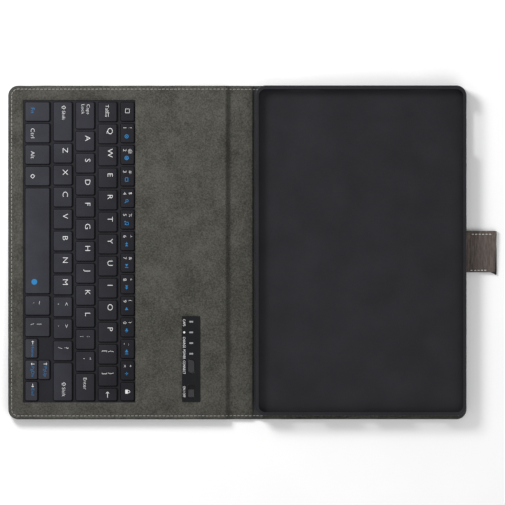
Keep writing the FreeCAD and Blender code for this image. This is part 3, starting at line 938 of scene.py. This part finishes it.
extra_signs = {
    "key_shift_left": lambda p, s, m: lift_arrow(p, s + 3.9, m + 0.8),
    "key_shift_right": lambda p, s, m: lift_arrow(p, s + 15.9, m + 0.8),
    "key_tab": lambda p, s, m: (arrow(p, (s + 10.9, m - 1.2), (s + 7.6, m - 1.2), 0.6, 0.28),
                                arrow(p, (s + 7.6, m + 0.6), (s + 10.9, m + 0.6), 0.6, 0.28)),
    "key_left": lambda p, s, m: arrow_at(p, s, m, -1, 0),
    "key_right": lambda p, s, m: arrow_at(p, s, m, 1, 0),
    "key_up": lambda p, s, m: arrow_at(p, s, m, 0, 1),
    "key_down": lambda p, s, m: arrow_at(p, s, m, 0, -1),
}
for name, words in named_keys.items():
    printing = Print(cap_top)
    start, middle, width, depth = caps_in(name)[0]
    for text, size, offset, base, colour in words:
        printing.word(text, size, start + offset, middle + base, colour)
    if name in extra_signs:
        extra_signs[name](printing, start, middle)
    printing.finish("legend_" + name[4:], name)

printing = Print(cap_top)
start, middle, width, depth = caps_in("key_meta")[0]
x, y = start + width / 2, middle - 3.6
printing.strokes([(x - 1.6, y), (x, y + 1.6), (x + 1.6, y), (x, y - 1.6)], 0.4, WHITE, True)
printing.finish("legend_meta", "key_meta")
printing = Print(cap_top)
start, middle, width, depth = caps_in("key_backspace")[0]
arrow(printing, (start + 2.4, middle), (start + 6.8, middle), 1.2, 0.4)
printing.finish("legend_backspace", "key_backspace")


# ---------------------------------------------------------------- control panel
# A glossy black moulded strip near the spine holds four lamps, the connect button and the power switch.
# Its words are printed in white; the button is a separate oval cap and the switch slides in its slot.

panel_finish = moulded("dark panel plastic", (0.0105, 0.011, 0.0125, 1), (0.007, 0.0075, 0.0085, 1), 0.36,
                       grain_scale=3000.0, grain_depth=0.00001, Specular_IOR_Level=0.14)[0]
button_finish = moulded("black button plastic", (0.020, 0.021, 0.024, 1), (0.012, 0.012, 0.014, 1), 0.36,
                        grain_depth=0.00002, wear=0.8, worn_colour=(0.14, 0.14, 0.15, 1))[0]
lens_finish, lens_tree, lens_shader = new_finish("milky lamp lens", IOR=1.49, Subsurface_Weight=0.2,
                                                 Subsurface_Radius=(0.001, 0.001, 0.001), Coat_Weight=0.4)
milk = put(lens_tree, "TexNoise", {"Vector": spots(lens_tree), "Scale": 900.0})
milk_tone = mix_colours(lens_tree, milk.outputs[0], (0.2, 0.21, 0.22, 1), (0.36, 0.37, 0.38, 1))
milk_gloss = put(lens_tree, "MapRange", {"Value": milk.outputs[0], "To Min": 0.2, "To Max": 0.38})
feed(lens_tree, lens_shader, Base_Color=milk_tone, Roughness=milk_gloss.outputs[0])
dress("control_panel", panel_finish)
dress("connect_button", button_finish)
dress("power_switch", button_finish)
dress("indicator_lenses", lens_finish)

panel_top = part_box("control_panel")[1].z / mm
button_low, button_high = (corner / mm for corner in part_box("connect_button"))
switch_low, switch_high = (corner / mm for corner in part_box("power_switch"))


def raised_ring(name, x, y, radius, width, low, high, material):
    """A raised oval or slot-shaped ring about a control: wide sides, rounded ends, softly domed."""
    ring = bmesh.new()
    profile = [(0.0, low), (0.04, high - 0.05), (0.25, high), (0.75, high), (0.96, high - 0.05),
               (1.0, low)]
    corners = [(x[1], y[1]), (x[0], y[1]), (x[0], y[0]), (x[1], y[0])]
    loops = []
    for quarter, (corner_x, corner_y) in enumerate(corners):
        for k in range(7):
            turn = math.pi / 2 * (quarter + k / 6)
            loop = []
            for share, z in profile:
                reach = radius + width * share
                place = (corner_x + math.cos(turn) * reach, corner_y + math.sin(turn) * reach, z)
                loop.append(ring.verts.new(Vector(place) * mm))
            loops.append(loop)
    fill_rows(ring, loops + loops[:1])
    return new_piece(name, face_out(ring), material)


collar_finish = moulded("gloss black collar", (0.0025, 0.0025, 0.003, 1), (0.0015, 0.0015, 0.002, 1),
                        0.25, grain_depth=0.000005, Specular_IOR_Level=0.3)[0]
button_round, button_gap = 2.2, 0.2
switch_slot_y = (-109.9, -101.9)
collars = [
    raised_ring("button_collar", (button_low.x + button_round, button_high.x - button_round),
                (button_low.y + button_round, button_high.y - button_round), button_round + button_gap,
                0.75, panel_top - 0.1, panel_top + 0.12, collar_finish),
    raised_ring("switch_collar", (switch_low.x + 0.5, switch_high.x - 0.5), switch_slot_y, 0.8, 0.7,
                panel_top - 0.1, panel_top + 0.08, collar_finish),
]
for collar in collars:
    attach(collar, "keyboard_cover")

# A thin black shutter slides with the switch and keeps dust out of its slot.
shutter = bmesh.new()
near_x, far_x = switch_low.x - 0.4, switch_high.x + 0.4
near_y, far_y = switch_low.y - 4.2, switch_high.y + 3.6
for z in (5.9, 6.05):
    for x, y in ((near_x, near_y), (far_x, near_y), (far_x, far_y), (near_x, far_y)):
        shutter.verts.new(Vector((x, y, z)) * mm)
bmesh.ops.convex_hull(shutter, input=shutter.verts)
shutter_piece = new_piece("switch_shutter", shutter, collar_finish, smooth=False)
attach(shutter_piece, "power_switch")

# The panel's words are printed with thicker strokes, each fitted between its ends: (text, start, end).
label_foot, label_size = -53.1, 1.75
labels = (("CAPS", 50.9, 56.2), ("CHARGE", 64.4, 72.8), ("POWER", 74.0, 81.3), ("CONNECT", 82.4, 92.8),
          ("ON / OFF", 102.0, 110.4))
lettering.offset = 0.0
printing = Print(panel_top)
for text, start, end in labels:
    natural = [p.x for p in typeset(text)[0]]
    span = (max(natural) - min(natural)) / capital * label_size
    printing.word(text, label_size, start, label_foot, narrow=min((end - start) / span, 1.0))
printing.disc((60.9, label_foot + 0.9), 0.8)
printing.finish("panel_words", "keyboard_cover", "panel_plastic")
bpy.data.objects.remove(lettering_object)


# ---------------------------------------------------------------- tray
# The tablet snaps into a thin moulded tray of near-black plastic.  Its satin rim is the brightest edge of
# the case's right half; the floor is matt, with slots that let the air out and a grip for each corner.

tray_finish = moulded("satin tray plastic", (0.017, 0.017, 0.021, 1), (0.011, 0.011, 0.014, 1), 0.42,
                      grain_scale=1800.0, grain_depth=0.00003, wear=0.6, worn_colour=(0.05, 0.05, 0.055, 1),
                      Specular_IOR_Level=0.2)[0]
dress("tray_shell", tray_finish)


# ---------------------------------------------------------------- closure strap
# A strip of soft brown leather, glued under the tray's edge, runs out, rolls over and comes back beneath
# itself over a magnet.  It is sewn along both edges, and creases where it is bent every day.

roll_x, roll_z, roll_radius = 185.075, 1.4, 1.4
strap_low, strap_high = (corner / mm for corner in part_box("strap_upper"))
strap_step, roll_sides = 0.5, 28
strap_leather = leather("brown strap leather", (0.098, 0.074, 0.064, 1), (0.058, 0.045, 0.039, 1),
                        (0.26, 0.21, 0.18, 1), 1500.0, 0.00011, 0.5)
raw_edge = leather("dark raw leather edge", (0.022, 0.018, 0.016, 1), (0.010, 0.009, 0.008, 1),
                   (0.05, 0.04, 0.035, 1), 1500.0, 0.0001, 0.7)

# Fine pale and dark streaks across the leather are painted light and shade, standing for its fine wrinkles.
tree = strap_leather.node_tree
shader = tree.nodes["Principled BSDF"]
plain_colour = shader.inputs["Base Color"].links[0].from_socket
drawn_out = put(tree, "Mapping", {"Vector": spots(tree), "Scale": (1.0, 0.16, 1.0)})
streaks = put(tree, "TexNoise", {"Vector": drawn_out.outputs[0], "Scale": 900.0, "Detail": 6.0,
                                 "Roughness": 0.7})
painted_wrinkle_shade = put(tree, "MapRange", {"Value": streaks.outputs[0], "From Min": 0.33, "From Max": 0.67,
                                     "To Min": 0.55, "To Max": 1.6})
wrinkle_shaded_colour = put(tree, "VectorMath", {0: plain_colour}, operation="SCALE")
tree.links.new(painted_wrinkle_shade.outputs[0], wrinkle_shaded_colour.inputs["Scale"])
feed(tree, shader, Base_Color=wrinkle_shaded_colour.outputs[0])

# Wrinkles across the strap: (place along X, where it is deepest across Y, reach across, depth).
wrinkles = [(165.8, 2.0, 16.0, 0.42), (168.7, 6.0, 9.0, 0.22), (171.3, -6.0, 9.0, 0.16),
            (173.4, 8.0, 6.0, 0.14), (176.5, -2.0, 11.0, 0.20), (179.3, 5.0, 8.0, 0.16),
            (181.8, -7.0, 7.0, 0.16)]
strap_width = strap_high.y - strap_low.y


def slanted(x, y):
    """The strap was folded a little askew, so its rolled end runs back towards the near side."""
    back = ((strap_high.y - y) / strap_width) ** 1.4
    return x - 1.35 * back * min(max((x - 170.0) / 14.0, 0.0), 1.0)


def strap_height(x, y, top):
    """Height of the leather's upper face: wrinkles, soft waves and thinner edges."""
    height = top - 0.12
    for at, deepest, reach, depth in wrinkles:
        bend = at + 0.35 * math.sin(y * 0.4 + at)
        height -= depth * math.exp(-((x - bend) / 0.5) ** 2) * math.exp(-((y - deepest) / reach) ** 2)
    height += noise.noise(Vector((x * 0.3, y * 0.12, 5.0))) * 0.22
    edge = min(y - strap_low.y, strap_high.y - y)
    height -= 0.22 * max(0.0, 1 - edge / 0.7) ** 2
    return min(height, top) - 0.12 * math.exp(-((edge - 2.6) / 0.5) ** 2)


def leather_strip(from_x, to_x, bottom, top, step=0.35):
    """A solid strip of leather over the strap's width, finely divided on top."""
    strip = bmesh.new()
    count_x = int((to_x - from_x) / step)
    count_y = int(strap_width / strap_step)
    grid = []
    for i in range(count_x + 1):
        x = from_x + (to_x - from_x) * i / count_x
        row = []
        for j in range(count_y + 1):
            y = strap_low.y + strap_width * j / count_y
            row.append(strip.verts.new(Vector((slanted(x, y), y, strap_height(x, y, top))) * mm))
        under = [strip.verts.new(Vector((slanted(x, y), y, z)) * mm) for y, z in (
            (strap_high.y - 0.1, (top + bottom) / 2), (strap_high.y - 0.25, bottom),
            (strap_low.y + 0.25, bottom), (strap_low.y + 0.1, (top + bottom) / 2))]
        grid.append(row + under)
    fill_rows(strip, [row + row[:1] for row in grid])
    strip.faces.new(grid[0])
    strip.faces.new(grid[-1][::-1])
    return face_out(strip)


def rolled_end():
    """The end of the strap where the leather turns over, pinched a little at its near side."""
    roll = bmesh.new()
    count_y = int(strap_width / strap_step)
    rings = []
    for j in range(count_y + 1):
        y = strap_low.y + 0.1 + (strap_width - 0.2) * j / count_y
        pinch = 1 - 0.18 * math.exp(-(j / count_y / 0.06) ** 2)
        ring = []
        for k in range(roll_sides):
            turn = 2 * math.pi * k / roll_sides
            bumpy = noise.noise(Vector((y * 0.35, math.cos(turn) * 1.5, math.sin(turn) * 1.5))) * 0.05
            radius = (roll_radius - 0.06) * pinch + bumpy
            ring.append(roll.verts.new(Vector((slanted(roll_x, y) + radius * math.cos(turn), y,
                                               roll_z + radius * math.sin(turn))) * mm))
        rings.append(ring)
    fill_rows(roll, [ring + ring[:1] for ring in rings])
    roll.faces.new(rings[0])
    roll.faces.new(rings[-1][::-1])
    return face_out(roll)


def inner_tongue():
    """A dark strip that peeps out past the rolled end and its near corner."""
    plan = [(184.4, 13.0), (185.9, 10.5), (186.35, 2.0), (186.42, -14.0), (186.25, -16.9),
            (185.9, -17.2), (183.6, -15.9), (181.5, -15.0), (180.0, -13.0), (181.0, 8.0)]
    tongue = bmesh.new()
    loops = [[tongue.verts.new(Vector((x, y, z)) * mm) for x, y in plan] for z in (0.35, 1.25)]
    for k in range(len(plan)):
        tongue.faces.new((loops[0][k], loops[0][k - 1], loops[1][k - 1], loops[1][k]))
    tongue.faces.new(loops[0])
    tongue.faces.new(loops[1][::-1])
    face_out(tongue)
    bmesh.ops.bevel(tongue, geom=tongue.edges[:], offset=0.00018, segments=2, affect="EDGES")
    return tongue


root_x, strap_top = 162.0, 2.78
upper = new_piece("strap_upper_leather", leather_strip(root_x, roll_x, 1.7, strap_top), strap_leather)
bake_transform(upper)
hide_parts("strap_upper")
for name, mesh_data, finish in (("strap_roll_leather", rolled_end(), strap_leather),
                                ("strap_inner_tongue", inner_tongue(), raw_edge)):
    piece = new_piece(name, mesh_data, finish)
    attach(piece, "strap_upper")
    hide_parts("strap_bend")
lower_low, lower_high = (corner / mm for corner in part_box("strap_lower"))
lower = new_piece("strap_lower_leather", leather_strip(lower_low.x, lower_high.x, 0.02, 1.08), raw_edge)
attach(lower, "strap_lower")
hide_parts("strap_lower")

# The strap's stitches, six along the far edge and five along the near: (y, first x, pitch, count).
strap_seams = ((13.9, 166.75, 2.66, 6), (-13.6, 165.6, 2.85, 5))
pale_thread = thread_finish("pale strap thread", (0.34, 0.33, 0.31, 1), (0.72, 0.7, 0.67, 1))
cloth = bmesh.new()
for y, first_x, pitch, count in strap_seams:
    for i in range(count):
        x = first_x + pitch * (i + 0.5)
        middle = Vector((slanted(x, y), y, strap_height(x, y, strap_top) - 0.02))
        sew(cloth, middle, Vector((1, 0, 0)), Vector((0, 0, 1)), 1.7, 0.34, 0.35)
strap_thread = new_piece("strap_stitches", face_out(cloth), pale_thread)
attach(strap_thread, "strap_upper")


# ---------------------------------------------------------------- boards and fillings
# Grey-brown chipboard stiffens every panel, a fibre frame fills the cover round the electronics, and thin
# grey foam bonds the tray to the back.  None of it shows when the case is whole.


def fibrous(name, light, dark, roughness, stretch, scale, depth):
    """Pressed board, fibre or foam: two tones of short fibres with a dull surface."""
    material, tree, shader = new_finish(name, Specular_IOR_Level=0.2)
    place = put(tree, "Mapping", {"Vector": spots(tree), "Scale": stretch})
    fibres = put(tree, "TexNoise", {"Vector": place.outputs[0], "Scale": scale, "Detail": 6.0,
                                    "Roughness": 0.7})
    tone = mix_colours(tree, fibres.outputs[0], dark, light)
    dull = put(tree, "MapRange", {"Value": fibres.outputs[0], "To Min": roughness - 0.1,
                                  "To Max": roughness + 0.08})
    bump = put(tree, "Bump", {"Height": fibres.outputs[0], "Distance": depth})
    feed(tree, shader, Base_Color=tone, Roughness=dull.outputs[0], Normal=bump.outputs[0])
    return material


board_finish = fibrous("grey chipboard", (0.24, 0.22, 0.19, 1), (0.12, 0.11, 0.095, 1), 0.88,
                       (1, 4, 1), 350.0, 0.0001)
filler_finish = fibrous("fibre filler", (0.10, 0.10, 0.10, 1), (0.05, 0.05, 0.05, 1), 0.9,
                        (1, 1, 3), 600.0, 0.0002)
foam_finish = fibrous("grey foam", (0.08, 0.08, 0.085, 1), (0.035, 0.035, 0.04, 1), 0.92,
                      (1, 1, 1), 1900.0, 0.0002)
for name in ("front_base_board", "spine_board", "easel_board", "rear_board"):
    dress(name, board_finish)
dress("front_core_frame", filler_finish)
dress("tray_pad", foam_finish)
dress("strap_anchor", strap_leather)


# ---------------------------------------------------------------- metal parts
# The key plate is pressed galvanised steel, as is the plate that the strap's magnet holds to; the screws
# are black zinc, the socket is nickel on brass, and the magnets are nickel-plated bars.


def metal(name, light, dark, roughness, scratch_scale=500.0, stretch=(1, 12, 1)):
    """Plated metal: fine drawn scratches and faint stains."""
    material, tree, shader = new_finish(name, Metallic=1.0)
    place = put(tree, "Mapping", {"Vector": spots(tree), "Scale": stretch})
    drawn = put(tree, "TexNoise", {"Vector": place.outputs[0], "Scale": scratch_scale, "Detail": 4.0})
    stains = put(tree, "Group", {"Light": light, "Dark": dark, "Clouds": 120.0, "Grain": 1400.0},
                 node_tree=speckle)
    gloss = put(tree, "MapRange", {"Value": drawn.outputs[0], "To Min": roughness - 0.1,
                                   "To Max": roughness + 0.15})
    bump = put(tree, "Bump", {"Height": drawn.outputs[0], "Distance": 0.00002})
    feed(tree, shader, Base_Color=stains.outputs["Color"], Roughness=gloss.outputs[0],
         Normal=bump.outputs[0])
    return material


dress("key_backplate", metal("galvanised steel", (0.55, 0.56, 0.57, 1), (0.42, 0.43, 0.45, 1), 0.4))
dress("closure_plate", metal("closure steel", (0.48, 0.49, 0.5, 1), (0.36, 0.37, 0.39, 1), 0.45))
dress("panel_screws", metal("black zinc screw", (0.06, 0.06, 0.065, 1), (0.03, 0.03, 0.033, 1), 0.35,
                            1500.0))
dress("charging_port", metal("nickel socket", (0.62, 0.6, 0.57, 1), (0.5, 0.48, 0.46, 1), 0.25, 900.0))
for name in ("stand_magnets", "strap_magnet"):
    dress(name, metal("nickel magnet " + name, (0.6, 0.6, 0.6, 1), (0.48, 0.48, 0.49, 1), 0.22, 700.0,
                      (1, 1, 1)))


# ---------------------------------------------------------------- key mechanism
# Under the caps lie white scissor links, which clip each cap to the steel plate, and translucent rubber
# domes that push it back up.  Below them are a printed clear membrane and a black moulded tub.

dress("keyboard_bottom_case", moulded("tub plastic", (0.02, 0.02, 0.022, 1), (0.013, 0.013, 0.015, 1),
                                      0.5)[0])
dress("scissor_links", moulded("white link plastic", (0.62, 0.62, 0.6, 1), (0.5, 0.5, 0.48, 1), 0.4,
                               worn_colour=(0.7, 0.7, 0.68, 1))[0])
dress("rubber_domes", moulded("translucent rubber", (0.45, 0.46, 0.45, 1), (0.36, 0.37, 0.37, 1), 0.45,
                              worn_colour=(0.5, 0.5, 0.5, 1), Subsurface_Weight=0.25,
                              Subsurface_Radius=(0.002, 0.002, 0.002))[0])


def film(name, base, track, size, roughness):
    """Clear or coloured film with printed conductor tracks."""
    material, tree, shader = new_finish(name, Coat_Weight=0.3)
    place = spots(tree)
    tracks = put(tree, "TexBrick", {"Vector": place, "Color1": base, "Color2": base, "Mortar": track,
                                    "Scale": size, "Mortar Size": 0.03})
    cloudy = put(tree, "TexNoise", {"Vector": place, "Scale": 400.0})
    gloss = put(tree, "MapRange", {"Value": cloudy.outputs[0], "To Min": roughness,
                                   "To Max": roughness + 0.15})
    feed(tree, shader, Base_Color=tracks.outputs["Color"], Roughness=gloss.outputs[0])
    return material


dress("membrane_sheet", film("printed membrane", (0.55, 0.56, 0.55, 1), (0.25, 0.26, 0.28, 1), 160.0,
                             0.3))


# ---------------------------------------------------------------- electronics
# The green circuit board, the foil-wrapped battery and the amber flat cable to the membrane lie in pockets
# of the cover's filling, under the control panel and beside it.

dress("controller_board", film("green circuit board", (0.01, 0.09, 0.04, 1), (0.12, 0.2, 0.06, 1), 420.0,
                               0.35))
dress("ribbon_cable", film("amber flat cable", (0.42, 0.2, 0.03, 1), (0.5, 0.34, 0.12, 1), 900.0, 0.3))
dress("battery_cell", metal("battery foil", (0.62, 0.63, 0.64, 1), (0.5, 0.51, 0.53, 1), 0.3, 260.0,
                            (1, 1, 1)))


# ---------------------------------------------------------------- table, light and camera
# A plain pale table under a small bright lamp at the far left and a large soft one opposite, seen from
# straight above through a long lens.

floor_mesh = bpy.data.meshes.new("table_top")
table_reach = 3.0
table_corners = ((-1, -1), (1, -1), (1, 1), (-1, 1))
floor_mesh.from_pydata([(x * table_reach, y * table_reach, 0) for x, y in table_corners], [],
                       [(0, 1, 2, 3)])
table = bpy.data.objects.new("table_top", floor_mesh)
table.location.z = -0.0002
bpy.context.scene.collection.objects.link(table)
table_finish, table_tree, table_shader = new_finish("pale table", Roughness=0.85, Specular_IOR_Level=0.2)
paper = put(table_tree, "TexNoise", {"Vector": spots(table_tree), "Scale": 14.0})
paper_tone = mix_colours(table_tree, paper.outputs[0], (0.88, 0.88, 0.88, 1), (0.93, 0.93, 0.93, 1))
feed(table_tree, table_shader, Base_Color=paper_tone)
floor_mesh.materials.append(table_finish)


def soft_lamp(name, place, size, power):
    """A square soft light that faces the middle of the case."""
    lamp = bpy.data.lights.new(name, "AREA")
    lamp.shape, lamp.size, lamp.energy = "SQUARE", size, power
    holder = bpy.data.objects.new(name, lamp)
    holder.location = place
    holder.rotation_euler = (-Vector(place)).to_track_quat("-Z", "Y").to_euler()
    bpy.context.scene.collection.objects.link(holder)


soft_lamp("main_lamp", (-0.46, 0.46, 0.56), 0.3, 6.2)
soft_lamp("fill_lamp", (0.75, -0.8, 1.1), 1.1, 6.0)
world = bpy.data.worlds.new("pale room")
bpy.context.scene.world = world
world.use_nodes = True
room = world.node_tree.nodes["Background"]
room.inputs["Color"].default_value = (1.0, 1.0, 1.0, 1)
room.inputs["Strength"].default_value = 0.55
bpy.context.scene.view_settings.view_transform = "Standard"

lens = bpy.data.cameras.new("camera")
lens.type, lens.sensor_width, lens.lens = "PERSP", 36.0, 373.2
lens.clip_start, lens.clip_end = 0.1, 20.0
camera = bpy.data.objects.new("camera", lens)
camera.location = (-0.0001, 0.0, 4.0)
bpy.context.scene.collection.objects.link(camera)
bpy.context.scene.camera = camera
